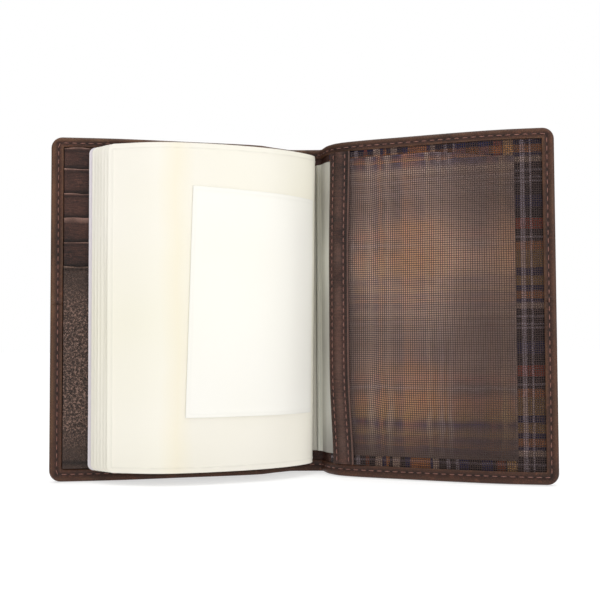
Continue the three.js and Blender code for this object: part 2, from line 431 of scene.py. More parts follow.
def stitch_row(track, facing, pitch=STITCH_PITCH, length=2.5):
    """Short threads along a track, each with its ends sunk into the sheet. facing is the sign of
    the offset that they stand out to."""
    place, way = along_track(track, pitch)
    t = np.linspace(-1, 1, STITCH_RINGS)
    round_it = np.linspace(0, 2 * math.pi, STITCH_SIDES, endpoint=False)
    girth = STITCH_THICKNESS / 2 * np.sqrt(np.maximum(1 - 0.75 * t**2, 0.05))
    lift = STITCH_RISE * (1 - 1.25 * t**2)
    flat, faces = [], []
    for spot, (du, dz) in zip(place, way):
        first = len(flat) * STITCH_SIDES
        for k in range(STITCH_RINGS):
            across = girth[k] * np.cos(round_it)
            out = facing * (lift[k] + 0.8 * girth[k] * np.sin(round_it))
            u = spot[0] + du * t[k] * length / 2 - dz * across
            z = spot[1] + dz * t[k] * length / 2 + du * across
            flat.append(np.column_stack([u, z, spot[2] + out]))
        faces += tube_faces(STITCH_RINGS, STITCH_SIDES, first)
    return np.vstack(flat), faces


def thread_hole_shade(flat):
    """Painted shade at each stitch's two ends, where it goes down into its holes."""
    ring = np.arange(len(flat)) // STITCH_SIDES % STITCH_RINGS
    ends = (ring == 0) | (ring == STITCH_RINGS - 1)
    return 0.0 * ends, 0.9 * ends


def joined(parts):
    """Several (points, faces) as one."""
    flat, faces, first = [], [], 0
    for points, quads in parts:
        flat.append(points)
        faces += [tuple(first + i for i in face) for face in quads]
        first += len(points)
    return np.vstack(flat), faces


# ---- Materials ----


def srgb(red, green, blue):
    """A colour as a screen shows it, 0 to 255, in the linear values that shaders use."""
    shares = [c / 255 for c in (red, green, blue)]
    return tuple(c / 12.92 if c < 0.0405 else ((c + 0.055) / 1.055) ** 2.4 for c in shares) + (1.0,)


class Shader:
    """A material under construction: short calls that add nodes and join them."""

    def __init__(self, name, **values):
        self.material = bpy.data.materials.new(name)
        self.material.use_nodes = True
        self.tree = self.material.node_tree
        self.surface = self.tree.nodes["Principled BSDF"]
        for socket, value in values.items():
            self.surface.inputs[socket.replace("_", " ")].default_value = value
        self.flat = self.node("ShaderNodeAttribute", attribute_name="flat").outputs["Vector"]
        # per-point shares: painted highlight and lighter tint, and painted shade and dark lines
        self.highlight_and_tint = self.node("ShaderNodeAttribute", attribute_name="highlight_and_tint").outputs["Fac"]
        self.shade = self.node("ShaderNodeAttribute", attribute_name="shade").outputs["Fac"]

    def node(self, kind, inputs=(), **settings):
        node = self.tree.nodes.new(kind)
        for key, value in settings.items():
            setattr(node, key, value)
        for key, value in dict(inputs).items():
            self.feed(node.inputs[key], value)
        return node

    def feed(self, socket, value):
        if isinstance(value, bpy.types.NodeSocket):
            self.tree.links.new(value, socket)
        else:
            socket.default_value = value

    def math(self, operation, a, b=0.0, clamp=False):
        node = self.node("ShaderNodeMath", {0: a, 1: b}, operation=operation, use_clamp=clamp)
        return node.outputs[0]

    def times(self, a, b):
        return self.math("MULTIPLY", a, b)

    def total(self, *terms):
        """The sum of values, each given with the factor it is multiplied by."""
        result, *more = [self.times(value, factor) for value, factor in terms]
        for term in more:
            result = self.math("ADD", result, term)
        return result

    def part(self, axis):
        """One coordinate of the flat point, in millimetres."""
        node = self.node("ShaderNodeSeparateXYZ", {0: self.flat})
        return node.outputs[axis]

    def stretched(self, u, z, offset=1.0):
        """The flat point with its coordinates scaled."""
        node = self.node("ShaderNodeVectorMath", {0: self.flat, 1: (u, z, offset)}, operation="MULTIPLY")
        return node.outputs[0]

    def noise(self, scale, detail=2.0, roughness=0.5, vector=None):
        return self.node("ShaderNodeTexNoise", {
            "Vector": vector or self.flat, "Scale": scale, "Detail": detail, "Roughness": roughness,
        }).outputs["Fac"]

    def cells(self, scale, feature="F1", vector=None):
        return self.node("ShaderNodeTexVoronoi", {
            "Vector": vector or self.flat, "Scale": scale,
        }, feature=feature).outputs["Distance"]

    def ramp(self, value, stops, steps=False):
        """A value turned into a colour or a number, by (place, colour) stops."""
        node = self.node("ShaderNodeValToRGB", {0: value})
        node.color_ramp.interpolation = "CONSTANT" if steps else "LINEAR"
        while len(node.color_ramp.elements) < len(stops):
            node.color_ramp.elements.new(1.0)
        for element, (place, colour) in zip(node.color_ramp.elements, stops):
            element.position = place
            element.color = colour if len(np.shape(colour)) else (colour, colour, colour, 1.0)
        return node.outputs[0]

    def fade(self, value, start, end, low=0.0, high=1.0):
        """Goes from low where the value is at start, to high where it is at end."""
        return self.ramp(value, [(start, low), (end, high)])

    def mix(self, share, a, b, blend="MIX"):
        node = self.node("ShaderNodeMix", data_type="RGBA", blend_type=blend)
        for index, value in ((0, share), (6, a), (7, b)):
            self.feed(node.inputs[index], value)
        return node.outputs[2]

    def band(self, value, centre, width):
        """1 at the centre, falling to 0 at width from it."""
        away = self.math("ABSOLUTE", self.math("SUBTRACT", value, centre))
        return self.math("SUBTRACT", 1.0, self.math("DIVIDE", away, width), clamp=True)

    def bump(self, height, distance, strength=1.0, after=None):
        inputs = {"Height": height, "Distance": distance * MM, "Strength": strength}
        if after:
            inputs["Normal"] = after
        return self.node("ShaderNodeBump", inputs).outputs["Normal"]

    def finish(self, colour, roughness=None, normal=None):
        self.feed(self.surface.inputs["Base Color"], colour)
        if roughness is not None:
            self.feed(self.surface.inputs["Roughness"], roughness)
        if normal is not None:
            self.feed(self.surface.inputs["Normal"], normal)
        return self.material


def tinted(colour, factor):
    """A linear colour made lighter or darker."""
    return tuple(min(1.0, factor * c) for c in colour[:3]) + (1.0,)


PEBBLE_SHEEN_MIDDLE, PEBBLE_SHEEN_REACH = 46.0, 34.0      # heights of the slot panel where painted highlights on the pebble tops and painted shade in the pits show most


def leather(name, dark, light, grain, rim, pebble=0.0, streak=0.0):
    """Leather with fine creases between its grains, darkened as painted shade. grain is a grain's size in
    millimetres, rim the colour of the painted highlight laid along edges and lips, pebble the height of its
    pebbling, which also brings painted highlights on pebble tops and painted shade in pits, and streak a
    share of lines along u."""
    s = Shader(name, Roughness=0.5, Specular_IOR_Level=0.3)
    warped = s.node("ShaderNodeVectorMath", {
        0: s.flat,
        1: s.node("ShaderNodeTexNoise", {"Vector": s.flat, "Scale": 0.9, "Detail": 2.0}).outputs["Color"],
    }, operation="ADD").outputs[0]
    creases = s.fade(s.cells(1 / grain, "DISTANCE_TO_EDGE", warped), 0.0, 0.35)
    fine = s.noise(2.6 / grain, 3.0, 0.6)
    blotches = s.noise(0.06, 3.0, 0.55)
    lines = s.noise(1.0, 3.0, 0.6, s.stretched(0.25, 2.4))
    tone = s.total((blotches, 0.5), (fine, 0.5), (s.math("SUBTRACT", lines, 0.5), 0.8 * streak))
    colour = s.mix(s.fade(tone, 0.3, 0.7), dark, light)
    # painted shade in the creases between grains
    colour = s.mix(s.fade(creases, 0.0, 1.0, 0.55, 0.0), colour, tinted(dark, 0.4))
    # paler patches at random: partly rubbed spots, partly painted sheen
    rub_and_sheen = s.fade(s.noise(0.3, 4.0, 0.7), 0.58, 0.74, 0.0, 0.4)
    colour = s.mix(rub_and_sheen, colour, tinted(light, 1.6))
    if pebble:
        # painted highlights on the pebble tops and painted shade in the pits, strongest in a band of
        # heights
        sheen_band = s.fade(s.band(s.part(1), PEBBLE_SHEEN_MIDDLE, PEBBLE_SHEEN_REACH), 0.0, 0.3, 0.15, 1.0)
        pebble_highlights = s.fade(s.noise(0.95 / grain, 3.0, 0.9), 0.49, 0.6)
        colour = s.mix(s.times(pebble_highlights, sheen_band), colour, tinted(light, 2.7))
        pit_shade = s.fade(s.noise(1.1 / grain, 3.0, 0.8, s.stretched(1.0, 1.0, 3.0)), 0.36, 0.5, 1.0, 0.0)
        colour = s.mix(s.times(pit_shade, sheen_band), colour, tinted(dark, 0.6))
    # painted highlight along edges and lips, from the first per-point share
    colour = s.mix(s.times(s.highlight_and_tint, s.fade(fine, 0.3, 0.6, 0.6, 1.0)), colour, rim)
    # painted shade, from the second per-point share
    colour = s.mix(s.shade, colour, tinted(dark, 0.3))
    normal = s.bump(s.total((creases, 0.7), (fine, 0.5)), 0.08 + pebble)
    if streak:
        normal = s.bump(lines, 0.25, streak, normal)
    dull = s.total((fine, 0.5), (blotches, 0.5))
    return s.finish(colour, s.fade(dull, 0.3, 0.7, 0.36, 0.6), normal)


def weave_bump(s, pitch):
    """Over-and-under threads at a pitch, as a height."""
    u = s.math("SINE", s.times(s.part(0), math.pi / pitch))
    z = s.math("SINE", s.times(s.part(1), math.pi / pitch))
    return s.times(u, z)


def plain_cloth(name, dark, light):
    s = Shader(name, Specular_IOR_Level=0.2, Sheen_Weight=0.3)
    threads = weave_bump(s, 0.45)
    tone = s.total((s.noise(0.15, 3.0), 0.6), (threads, 0.25))
    colour = s.mix(s.fade(tone, 0.15, 0.6), dark, light)
    return s.finish(colour, s.fade(s.noise(0.8), 0.3, 0.7, 0.8, 0.95), s.bump(threads, 0.12))


CHARCOAL = srgb(40, 32, 34)
RUST = srgb(152, 78, 42)
ORANGE = srgb(226, 144, 88)
BRICK = srgb(196, 86, 54)
TAN = srgb(202, 154, 100)
NAVY = srgb(42, 44, 92)
LILAC = srgb(178, 160, 166)
BLUSH = srgb(226, 190, 168)
UPRIGHT_STRIPES = [
    # (width in millimetres, colour), from the cover's fold to its edge
    (14, CHARCOAL), (1.4, LILAC), (2.4, CHARCOAL), (1.6, RUST), (2.4, CHARCOAL), (3, BLUSH), (1.7, NAVY),
    (1.3, ORANGE), (1.7, CHARCOAL), (2.7, BLUSH), (2.4, CHARCOAL), (2.2, NAVY), (8.2, ORANGE), (1, NAVY),
    (2, BLUSH), (3.6, CHARCOAL), (1.2, LILAC), (2.4, CHARCOAL), (1.2, LILAC), (4, NAVY), (5.3, CHARCOAL),
    (4, NAVY), (1.2, CHARCOAL), (3.4, RUST), (1, CHARCOAL), (3.6, TAN), (2.6, CHARCOAL), (1.7, LILAC),
    (2, CHARCOAL), (0.6, LILAC), (8.7, CHARCOAL),
]
LEVEL_START = -43.0      # where on the height a row of level stripes begins
LEVEL_STRIPES = [
    # the same, upwards, in a row that repeats
    (2.8, ORANGE), (2.2, NAVY), (4, TAN), (2.8, NAVY), (7.2, TAN), (3.4, ORANGE), (1.2, CHARCOAL),
    (1, LILAC), (2.8, CHARCOAL), (4.2, BRICK), (4.2, CHARCOAL), (5, NAVY), (5, CHARCOAL), (0.8, LILAC),
    (0.8, CHARCOAL), (0.8, LILAC), (2, CHARCOAL), (1, LILAC), (2.6, CHARCOAL), (2.4, BLUSH), (1.8, NAVY),
]


def stripes(s, axis, row, before, wobble, steps):
    """A row of stripes across one axis of the cloth. before is where on the axis the row begins."""
    total = sum(width for width, _ in row)
    ends = np.cumsum([width for width, _ in row]) / total
    stops = [(float(end - width / total), colour) for end, (width, colour) in zip(ends, row)]
    place = s.math("ADD", s.math("SUBTRACT", s.part(axis), before), wobble)
    return s.ramp(s.math("FRACT", s.math("DIVIDE", place, total)), stops, steps)


def both_stripes(s, wobble, steps):
    upright = stripes(s, 0, UPRIGHT_STRIPES, COVER_U["right"], wobble, steps)
    return upright, stripes(s, 1, LEVEL_STRIPES, LEVEL_START, wobble, steps)


GLOW = srgb(255, 184, 126)
CLEARER = [
    # (height, how far it fades, share): where the vinyl lies close, and the checks show best
    (FLAP_HIGH, 17.0, 0.95), (24.0, 30.0, 0.85),
]


def checked_cloth(name):
    """Yarn-dyed checks: upright and level stripes that cross in a plain weave."""
    s = Shader(name, Specular_IOR_Level=0.2, Sheen_Weight=0.2)
    warp, weft = both_stripes(s, s.times(s.noise(0.5), 0.6), steps=True)
    threads = weave_bump(s, 0.5)
    over = s.fade(threads, 0.45, 0.55)
    colour = s.mix(s.math("ADD", s.times(over, 0.5), 0.25), warp, weft)
    colour = s.mix(s.fade(s.noise(3.0), 0.35, 0.65, 0.25, 0.0), colour, CHARCOAL)
    return s.finish(colour, s.fade(s.noise(0.8), 0.3, 0.7, 0.8, 0.95), s.bump(threads, 0.12))


def vinyl_on_checks(name, haze, show):
    """Milky vinyl that lies on the checked cloth, which shows softly through it: as warm glows
    where bright stripes cross, and as ghosts of the stripes, clearer where the cloth touches it. Its second
    per-point share lays painted shade over it."""
    s = Shader(name, Specular_IOR_Level=0.3)
    warp, weft = both_stripes(s, s.times(s.noise(0.12, 3.0), 3.0), steps=False)
    cloth = s.mix(1.0, warp, weft, "SCREEN")
    close = s.fade(s.noise(0.035), 0.35, 0.65, show - 0.1, show + 0.2)
    for height, fade, share in CLEARER:
        here = s.fade(s.band(s.part(1), height, fade), 0.0, 1.0, 0.0, share)
        close = s.math("MAXIMUM", close, here)
    colour = s.mix(close, haze, cloth)
    colour = s.mix(s.highlight_and_tint, colour, GLOW)
    # painted shade
    colour = s.mix(s.shade, colour, srgb(30, 18, 15))
    rough = s.fade(s.noise(0.4, 3.0), 0.3, 0.7, 0.4, 0.55)
    return s.finish(colour, rough, s.bump(s.noise(1.6), 0.02))


def netting(name):
    s = Shader(name, Specular_IOR_Level=0.4, Sheen_Weight=0.2)
    twist = s.noise(3.0)
    colour = s.mix(s.fade(twist, 0.3, 0.7), srgb(38, 24, 21), srgb(84, 58, 50))
    colour = s.mix(s.fade(s.noise(0.05), 0.35, 0.65, 0.0, 0.35), colour, srgb(36, 22, 20))
    return s.finish(colour, s.fade(twist, 0.3, 0.7, 0.45, 0.65), s.bump(twist, 0.05))


RIM_TINT = srgb(222, 214, 226)
# grey of the welds' lines, and of painted shade on the vinyl
WELD_AND_SHADE_GREY = srgb(134, 130, 126)


def vinyl(name, cool, warm, bands=(), cover=1.0):
    """Milky vinyl with a faint pebble, tinted along its rim and its welds, and darkened by painted shade
    from the second per-point share. bands are (place along u, half width, colour, share), and cover is how
    much it hides of what is behind it."""
    s = Shader(name, Specular_IOR_Level=0.35, Alpha=cover)
    colour = s.mix(s.fade(s.noise(0.012), 0.35, 0.65), cool, warm)
    for place, width, tint, share in bands:
        soft = s.band(s.math("ADD", s.part(0), s.times(s.noise(0.03), 6.0)), place + 3.0, width)
        colour = s.mix(s.times(s.fade(soft, 0.0, 1.0), share), colour, tint)
    colour = s.mix(s.highlight_and_tint, colour, RIM_TINT)
    # weld lines and painted shade
    colour = s.mix(s.shade, colour, WELD_AND_SHADE_GREY)
    rough = s.fade(s.noise(0.4, 3.0), 0.3, 0.7, 0.38, 0.5)
    return s.finish(colour, rough, s.bump(s.noise(1.6), 0.02))


def sewing_thread(name):
    s = Shader(name, Specular_IOR_Level=0.4, Sheen_Weight=0.2)
    twist = s.noise(5.0, 1.0)
    colour = s.mix(s.fade(twist, 0.35, 0.65), srgb(92, 52, 44), srgb(150, 104, 90))
    # painted shade at the stitch ends
    colour = s.mix(s.shade, colour, srgb(22, 12, 10))
    return s.finish(colour, s.fade(twist, 0.3, 0.7, 0.5, 0.7), s.bump(twist, 0.06))


def card(name):
    s = Shader(name, Specular_IOR_Level=0.2)
    fibres = s.node("ShaderNodeTexNoise", {
        "Vector": s.node("ShaderNodeTexCoord").outputs["Object"], "Scale": 900.0, "Detail": 4.0,
    }).outputs["Fac"]
    colour = s.mix(s.fade(fibres, 0.3, 0.7), srgb(120, 108, 92), srgb(160, 148, 130))
    return s.finish(colour, s.fade(fibres, 0.3, 0.7, 0.85, 0.95), s.bump(fibres, 0.05))


HIDE_LEATHER = leather("hide", srgb(34, 19, 14), srgb(104, 62, 45), grain=0.9, rim=srgb(132, 98, 70))
TRIM_LEATHER = leather("trim_leather", srgb(32, 18, 15), srgb(98, 62, 51), grain=0.6,
                       rim=srgb(176, 138, 124), streak=0.9)
PANEL_LEATHER = leather("panel_leather", srgb(46, 33, 28), srgb(94, 74, 65), grain=0.9,
                        rim=srgb(160, 130, 114), pebble=0.3)
LINING_CLOTH = plain_cloth("lining_cloth", srgb(44, 32, 30), srgb(66, 52, 48))
CHECKED_CLOTH = checked_cloth("checked_cloth")
NETTING = netting("netting")
# a soft tan band down the top leaf: partly painted shade along a fold, partly a tint seen through the vinyl
PAGE_BANDS = [(70.5, 7.0, srgb(246, 236, 208), 0.5)]
PAGE_VINYL = vinyl("page_vinyl", srgb(247, 243, 231), srgb(244, 240, 223), bands=PAGE_BANDS)
POCKET_VINYL = vinyl("pocket_vinyl", srgb(250, 248, 241), srgb(248, 246, 236))
FLAP_VINYL = vinyl("flap_vinyl", srgb(226, 227, 218), srgb(216, 213, 200), cover=0.95)
POCKETED_VINYL = vinyl_on_checks("pocketed_vinyl", srgb(255, 214, 194), show=0.24)
THREAD = sewing_thread("sewing_thread")
CARD = card("card")

# ---- Outer leather, with its turned hem ----

SECTION = [
    # (inset, share of the hem's width, level, offset from it, relief): from the middle of the outer
    # face, round the edge, over the hem and its stitch groove, under its lip and back to the middle.
    (CORNER_ZONE, 0, "outer", 0.0, -1),
    (0.9, STITCH_SHARE, "outer", 0.0, -1),
    (0.45, STITCH_SHARE, "outer", 0.0, -1),
    (0.0, STITCH_SHARE, "outer", 0.2, -1),
    (-0.45, STITCH_SHARE, "outer", 0.0, -1),
    (1.1, 0, "outer", 0.02, -1),
    (0.45, 0, "outer", 0.2, -0.7),
    (0.1, 0, "outer", 0.6, 0),
    (0.0, 0, "outer", 1.0, 0),
    (0.0, 0, "face", -0.95, 0),
    (0.1, 0, "face", -0.5, 0),
    (0.45, 0, "face", -0.14, 0.7),
    (1.1, 0, "face", 0.0, 1),
    (-0.5, STITCH_SHARE, "face", 0.02, 1),
    (0.0, STITCH_SHARE, "face", -0.22, 1),
    (0.5, STITCH_SHARE, "face", 0.0, 1),
    (-0.55, 1, "face", -0.02, 1),
    (-0.2, 1, "face", -0.1, 1),
    (0.0, 1, "face", -0.35, 0.5),
    (0.0, 1, "seat", 0.0, 0),
    (2.6, 0, "seat", 0.0, 0),
    (2.6, 0, "inner", 0.0, 0),
    (CORNER_ZONE, 0, "inner", 0.0, 0),
]


def levels(side, u):
    """The offsets of the leather's faces at u. The hem is lower across the spine and shoulders."""
    on_cover = ease(u, COVER_U[side] - 1.0, COVER_U[side] + 7.0)
    return {
        "outer": np.full(u.shape, -HIDE),
        "inner": np.zeros(u.shape),
        "face": GUTTER_FACE + (HEM_FACE[side] - GUTTER_FACE) * on_cover,
        "seat": GUTTER_SEAT + (SEAT[side] - GUTTER_SEAT) * on_cover,
    }


def edge_runs(side, stations, rows, insets, with_tip):
    """The lines at an inset from the leather's edge, as (u, z) points: one that goes along the
    bottom, round the tip and back along the top, or only the bottom and the top."""
    low, across, high = insets
    bottom = [(u, low) for u in stations]
    top = [(u, HEIGHT - high) for u in stations[::-1]]
    if not with_tip:
        return [bottom, top]
    wide, down, up = (max(CORNER - inset, 0.0) for inset in (across, low, high))
    centre = TIP_U[side] - across - wide
    turn = np.linspace(0, math.pi / 2, 8)
    first = [(centre + wide * math.sin(a), low + down - down * math.cos(a)) for a in turn]
    second = [(centre + wide * math.cos(a), HEIGHT - high - up + up * math.sin(a)) for a in turn]
    edge = [(TIP_U[side] - across, z) for z in rows]
    return [bottom + first + edge + second + top]


def outer_leather(side, start, end, with_tip):
    """A stretch of the outer leather between two places along u, as flat points and faces: the
    section swept along its edges, and the two sheets between them."""
    near_folds = [(FOLD_U - 4, FOLD_U + 4), (COVER_U[side] - 4, COVER_U[side] + 6)]
    stations = grid_lines(start, end - CORNER_ZONE if with_tip else end, 2.5, near_folds, 0.8)
    rows = grid_lines(CORNER_ZONE, HEIGHT - CORNER_ZONE, 4.0, [(SEAM - 4, SEAM + 4)], 0.33)
    section = []
    for inset, share, name, rise, relief in SECTION:
        insets = [inset + share * width for width in HEM[side]]
        lines = []
        for run in edge_runs(side, stations, rows, insets, with_tip):
            u, z = np.array(run).T
            offset = levels(side, u)[name] + rise + relief * cross_seam(z)
            offset = offset + abs(relief) * (0.07 * ripple(u, z, 14, 5) + 0.06 * ripple(u, z, 5, 6))
            lines.append(np.column_stack([u, z, offset]))
        section.append(lines)
    flat, faces, count = [], [], 0
    for strip in zip(*section):
        flat += strip
        width = len(strip[0])
        faces += grid_faces(len(strip), width, count)
        faces += [tuple(count + k * width + end for k in range(len(strip))) for end in (0, width - 1)]
        count += len(strip) * width
    u, z = (a.ravel() for a in np.meshgrid(stations, rows, indexing="ij"))
    for offset in (-HIDE - cross_seam(z) + 0.07 * ripple(u, z, 14, 5), 0 * z):
        flat.append(np.column_stack([u, z, offset]))
        faces += grid_faces(len(stations), len(rows), count)
        count += len(u)
    size = len(u)
    for end_row in [0] if with_tip else [0, len(stations) - 1]:
        outer = count - 2 * size + end_row * len(rows)
        inner = count - size + end_row * len(rows)
        faces += [(outer + k, outer + k + 1, inner + k + 1, inner + k) for k in range(len(rows) - 1)]
    return merged(np.vstack(flat), faces)


RIM_HIGHLIGHT = {"left": 0.5, "right": 0.25}      # how strong the painted highlight along the rim is


def hem_painted_light(side):
    """Painted highlight along the outer leather's rim and the hem's lip, weaker towards the bottom as the
    light comes from above, and painted shade in the stitch groove and on the lip's edge and underside.
    """

    def painted_light_and_tint(flat):
        u, z, offset = flat.T
        low, across, high = HEM[side]
        rim = np.minimum(np.minimum(z, HEIGHT - z), TIP_U[side] - u)
        share = np.minimum(np.minimum(z / low, (HEIGHT - z) / high), (TIP_U[side] - u) / across)
        patchy = 0.75 + 0.35 * ripple(u, z, 9, 81)
        face = offset > 0.3
        lit_from_above = 0.35 + 0.65 * ease(z, 2, 30)
        rub_and_sheen = RIM_HIGHLIGHT[side] * bell(rim - 0.9, 0.5) + 0.4 * bell(share - 0.94, 0.05)
        shade = 0.75 * bell(share - STITCH_SHARE, 0.07) * face
        return rub_and_sheen * patchy * lit_from_above * face, shade + 0.5 * (face & (share > 0.99))

    return painted_light_and_tint


BLEND_REACH = 3.6      # how far to each side of a fold's line bend_at looks; the spots it finds there are not used


def bend_at(piece, side, where):
    """Bakes a piece's transform into its mesh. It finds spots on the side's line to each side of a fold,
    but does not use them.
    """
    line = SKIN[side]
    inner, outer, u = {
        "spine": ("spine", f"{side}_shoulder", FOLD_U),
        "cover": (f"{side}_shoulder", f"{side}_cover", COVER_U[side]),
    }[where]
    start, end = line.spot(u - BLEND_REACH), line.spot(u + BLEND_REACH)
    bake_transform(piece)


def hem_track(side, start, end, with_tip, facing):
    """The stitch row's line along the hem, as flat points on the leather's face."""
    stations = grid_lines(start, end - CORNER_ZONE if with_tip else end, 2.0)
    rows = grid_lines(CORNER_ZONE, HEIGHT - CORNER_ZONE, 2.0)
    insets = [STITCH_SHARE * width for width in HEM[side]]
    tracks = []
    for run in edge_runs(side, stations, rows, insets, with_tip):
        u, z = np.array(run).T
        lip = levels(side, u)
        offset = lip["face"] - 0.2 if facing > 0 else lip["outer"] + 0.2
        tracks.append(np.column_stack([u, z, offset + facing * cross_seam(z)]))
    return tracks


def seam_tracks(start, end):
    """The two rows that sew the cross seam, on the outside."""
    stations = grid_lines(start, end, 2.0)
    same = np.ones(stations.shape)
    heights = [SEAM + row for row in SEAM_ROWS]
    return [np.column_stack([stations, z * same, (-HIDE - cross_seam(z)) * same]) for z in heights]


SEAM_STOPS = {"spine": 0.3, "cover": 1.0}      # how far short of a stretch's end its seam rows stop


def build_outer_leather(side, where, start, end):
    """One stretch of the outer leather with its stitches, which bends at the fold in its middle."""
    with_tip = where == "cover"
    name = f"{side}_cover_leather_skin" if with_tip else f"{side}_back_leather_skin"
    flat, faces = outer_leather(side, start, end, with_tip)
    piece = make_piece(name, flat, faces, SKIN[side], HIDE_LEATHER, "hide", hem_painted_light(side))
    bend_at(piece, side, where)
    rows = []
    for facing in (1, -1):
        rows += [stitch_row(t, facing) for t in hem_track(side, start, end, with_tip, facing)]
    rows += [stitch_row(t, -1) for t in seam_tracks(start, end - SEAM_STOPS[where])]
    name = f"{side}_{where}_stitches"
    thread = make_piece(name, *joined(rows), SKIN[side], THREAD, "thread", thread_hole_shade)
    bend_at(thread, side, where)
    if with_tip:
        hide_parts(f"{side}_cover_leather", f"{side}_hem", f"{side}_shoulder_leather")
    elif side == "left":
        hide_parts("spine_leather")


# ---- Linings and tuck flaps ----

LINING_INSET = 3.0           # from the cover's free edges
LINING_START = 1.5           # past the cover's fold
COVER_LINING = {
    # (piece, cloth, CAD node, material slot)
    "left": ("plain_lining_cloth", LINING_CLOTH, "left_lining", "lining_cloth"),
    "right": ("checked_lining_cloth", CHECKED_CLOTH, "checked_lining", "checked_cloth"),
}
GUTTER_LAP = 1.2             # how far the gutter's lining reaches onto the cover
GUTTER_INSETS = (4.2, 3.4)   # at the bottom and the top


def build_cover_lining(side):
    name, cloth, node, slot = COVER_LINING[side]
    heights = grid_lines(LINING_INSET, HEIGHT - LINING_INSET, 4.0)
    stations = grid_lines(COVER_U[side] + LINING_START, TIP_U[side] - LINING_INSET, 2.5)
    stations = corner_lines(stations, LINING_INSET)
    flat, faces = slab(stations, heights, *LINING, radius=LINING_INSET, rim=0.1)
    piece = make_piece(name, flat, faces, SKIN[side], cloth, slot)
    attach(piece, f"{side}_cover")
    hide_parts(node)


def build_gutter_lining(side, where, start, end):
    heights = grid_lines(GUTTER_INSETS[0], HEIGHT - GUTTER_INSETS[1], 4.0)
    flat, faces = slab(grid_lines(start, end, 0.7), heights, *GUTTER_LINING, rim=0.0)
    gutter = make_piece(f"{side}_gutter_{where}", flat, faces, SKIN[side], TRIM_LEATHER, "trim_leather")
    bend_at(gutter, side, where)
    if where == "spine":
        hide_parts(f"{side}_shoulder_lining")
        if side == "left":
            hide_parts("spine_lining")


ROOT_BAR = (-5.1, 4.3)             # along u from the spine's middle, leftwards negative
ROOT_BAR_OFFSETS = (1.2, 2.7)      # its back and its front
ROOT_SHADE = 0.36                  # painted shade: the root bar, deep in the gutter, is drawn greyer than the leaves
FLAP_CORNER = {"left": 0.5, "right": 1.7}      # how far a flap stands off the fold's corner
FLAP_COVERED = 6.0                 # past the cover's fold, where the slots or binding hide it
FLAP_DROOP = 3.4                   # how far a flap's upper corner hangs
FLAP_DROOP_WHERE = ((45.0, 79.0), (90.0, FLAP_HIGH))      # from none to all, past the fold and up


def flap_offset(side, rise):
    """A tuck flap cuts across the fold's corner instead of following it."""

    def offset(u, z):
        return rise + FLAP_CORNER[side] * bell(u - FOLD_U, 2.2) + 0.06 * ripple(u, z, 30, 9)

    return offset


GLOWS = [
    # (place along u, height, half width, half height, share) of the warm glows on the pocketed flap
    (58.0, 90.0, 11.0, 8.0, 0.5), (56.0, 103.0, 9.0, 2.5, 0.35), (61.0, 34.0, 6.0, 6.0, 0.55),
    (52.0, 45.0, 12.0, 2.2, 0.3), (45.0, 34.0, 3.0, 6.0, 0.25), (60.0, 16.5, 7.0, 1.6, 0.4),
    (93.0, 92.0, 4.0, 12.0, 0.45),
]
BRIGHTEST = 1.08           # of the pocketed flap's brightness, of which its shade takes some away


def pocketed_glow_and_shade(flat):
    """The pocketed flap glows where bright stripes cross, and gets painted shade: darker near the pocket's
    foot, beside the binding and towards its free side, with a lighter band across its middle.
    """
    u, z, _ = flat.T
    glow = sum(
        share * bell(u - along, wide) * bell(z - high, tall) for along, high, wide, tall, share in GLOWS
    )
    # painted light and shade, up the flap and across it
    upwards = 0.97 + 0.2 * bell(z - 90, 9) - 0.1 * bell(z - 56, 8) - 0.08 * bell(z - 115, 6)
    upwards -= 0.5 * (1 - ease(z, 4.0, 27.0))
    sideways = 0.86 + 0.16 * ease(u, 27, 36) + 0.03 * bell(u - 58, 12) - 0.26 * ease(u, 58, 86)
    return glow, 1 - np.clip(upwards * sideways / BRIGHTEST, 0, 1) ** 2.2


def flap_sheet(side, stations):
    """A stretch of a flap, as flat points and faces."""
    near, far = (flap_offset(side, rise) for rise in FLAP)
    return slab(stations, grid_lines(FLAP_LOW, FLAP_HIGH, 1.5), near, far, rim=0.0)


def build_flap_fold(side):
    """The stretch of a flap from the root bar to the middle of the shoulder."""
    start = abs(ROOT_BAR[0 if side == "left" else 1]) + 0.05
    flat, faces = flap_sheet(side, grid_lines(start, MID_SHOULDER[side], 0.7))
    root = make_piece(f"{side}_flap_fold", flat, faces, SKIN[side], FLAP_VINYL, "vinyl_grey")
    bend_at(root, side, "spine")
    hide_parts(f"{side}_flap_root")


def build_flap(side):
    """The stretch of a flap from the middle of the shoulder to its free end in the cover."""
    cover_u = COVER_U[side]
    end = cover_u + FLAP_REACH[side]
    flat, faces = flap_sheet(side, grid_lines(MID_SHOULDER[side], end, 1.5, [(0, cover_u + 5)], 0.8))
    out, up = FLAP_DROOP_WHERE
    flat[:, 1] -= FLAP_DROOP * ease(flat[:, 0] - cover_u, *out) * ease(flat[:, 1], *up)
    pocketed = side == "right"
    painted_light_and_tint = pocketed_glow_and_shade if pocketed else None
    flap = make_piece(f"{side}_flap", flat, faces, SKIN[side], FLAP_VINYL, "vinyl_grey", painted_light_and_tint)
    if pocketed:
        flap.data.materials.append(POCKETED_VINYL)
        for face in flap.data.polygons:
            u = flap.data.attributes["flat"].data[face.vertices[0]].vector[0]
            face.material_index = int(u > cover_u + FLAP_COVERED)
    bend_at(flap, side, "cover")
    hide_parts(f"{side}_tuck_flap")


# ---- Left cover: card slots ----

SLOT_BACK = 2.25         # offset of the strips' backs at their feet
SLOT_SHEET = 0.45        # a strip's thickness
PANEL_SHEET = 0.6
SLOT_TUCK = 2.0          # how far a strip reaches down behind the next one
HEM_GAP = 0.25           # between a piece and the hem's lip


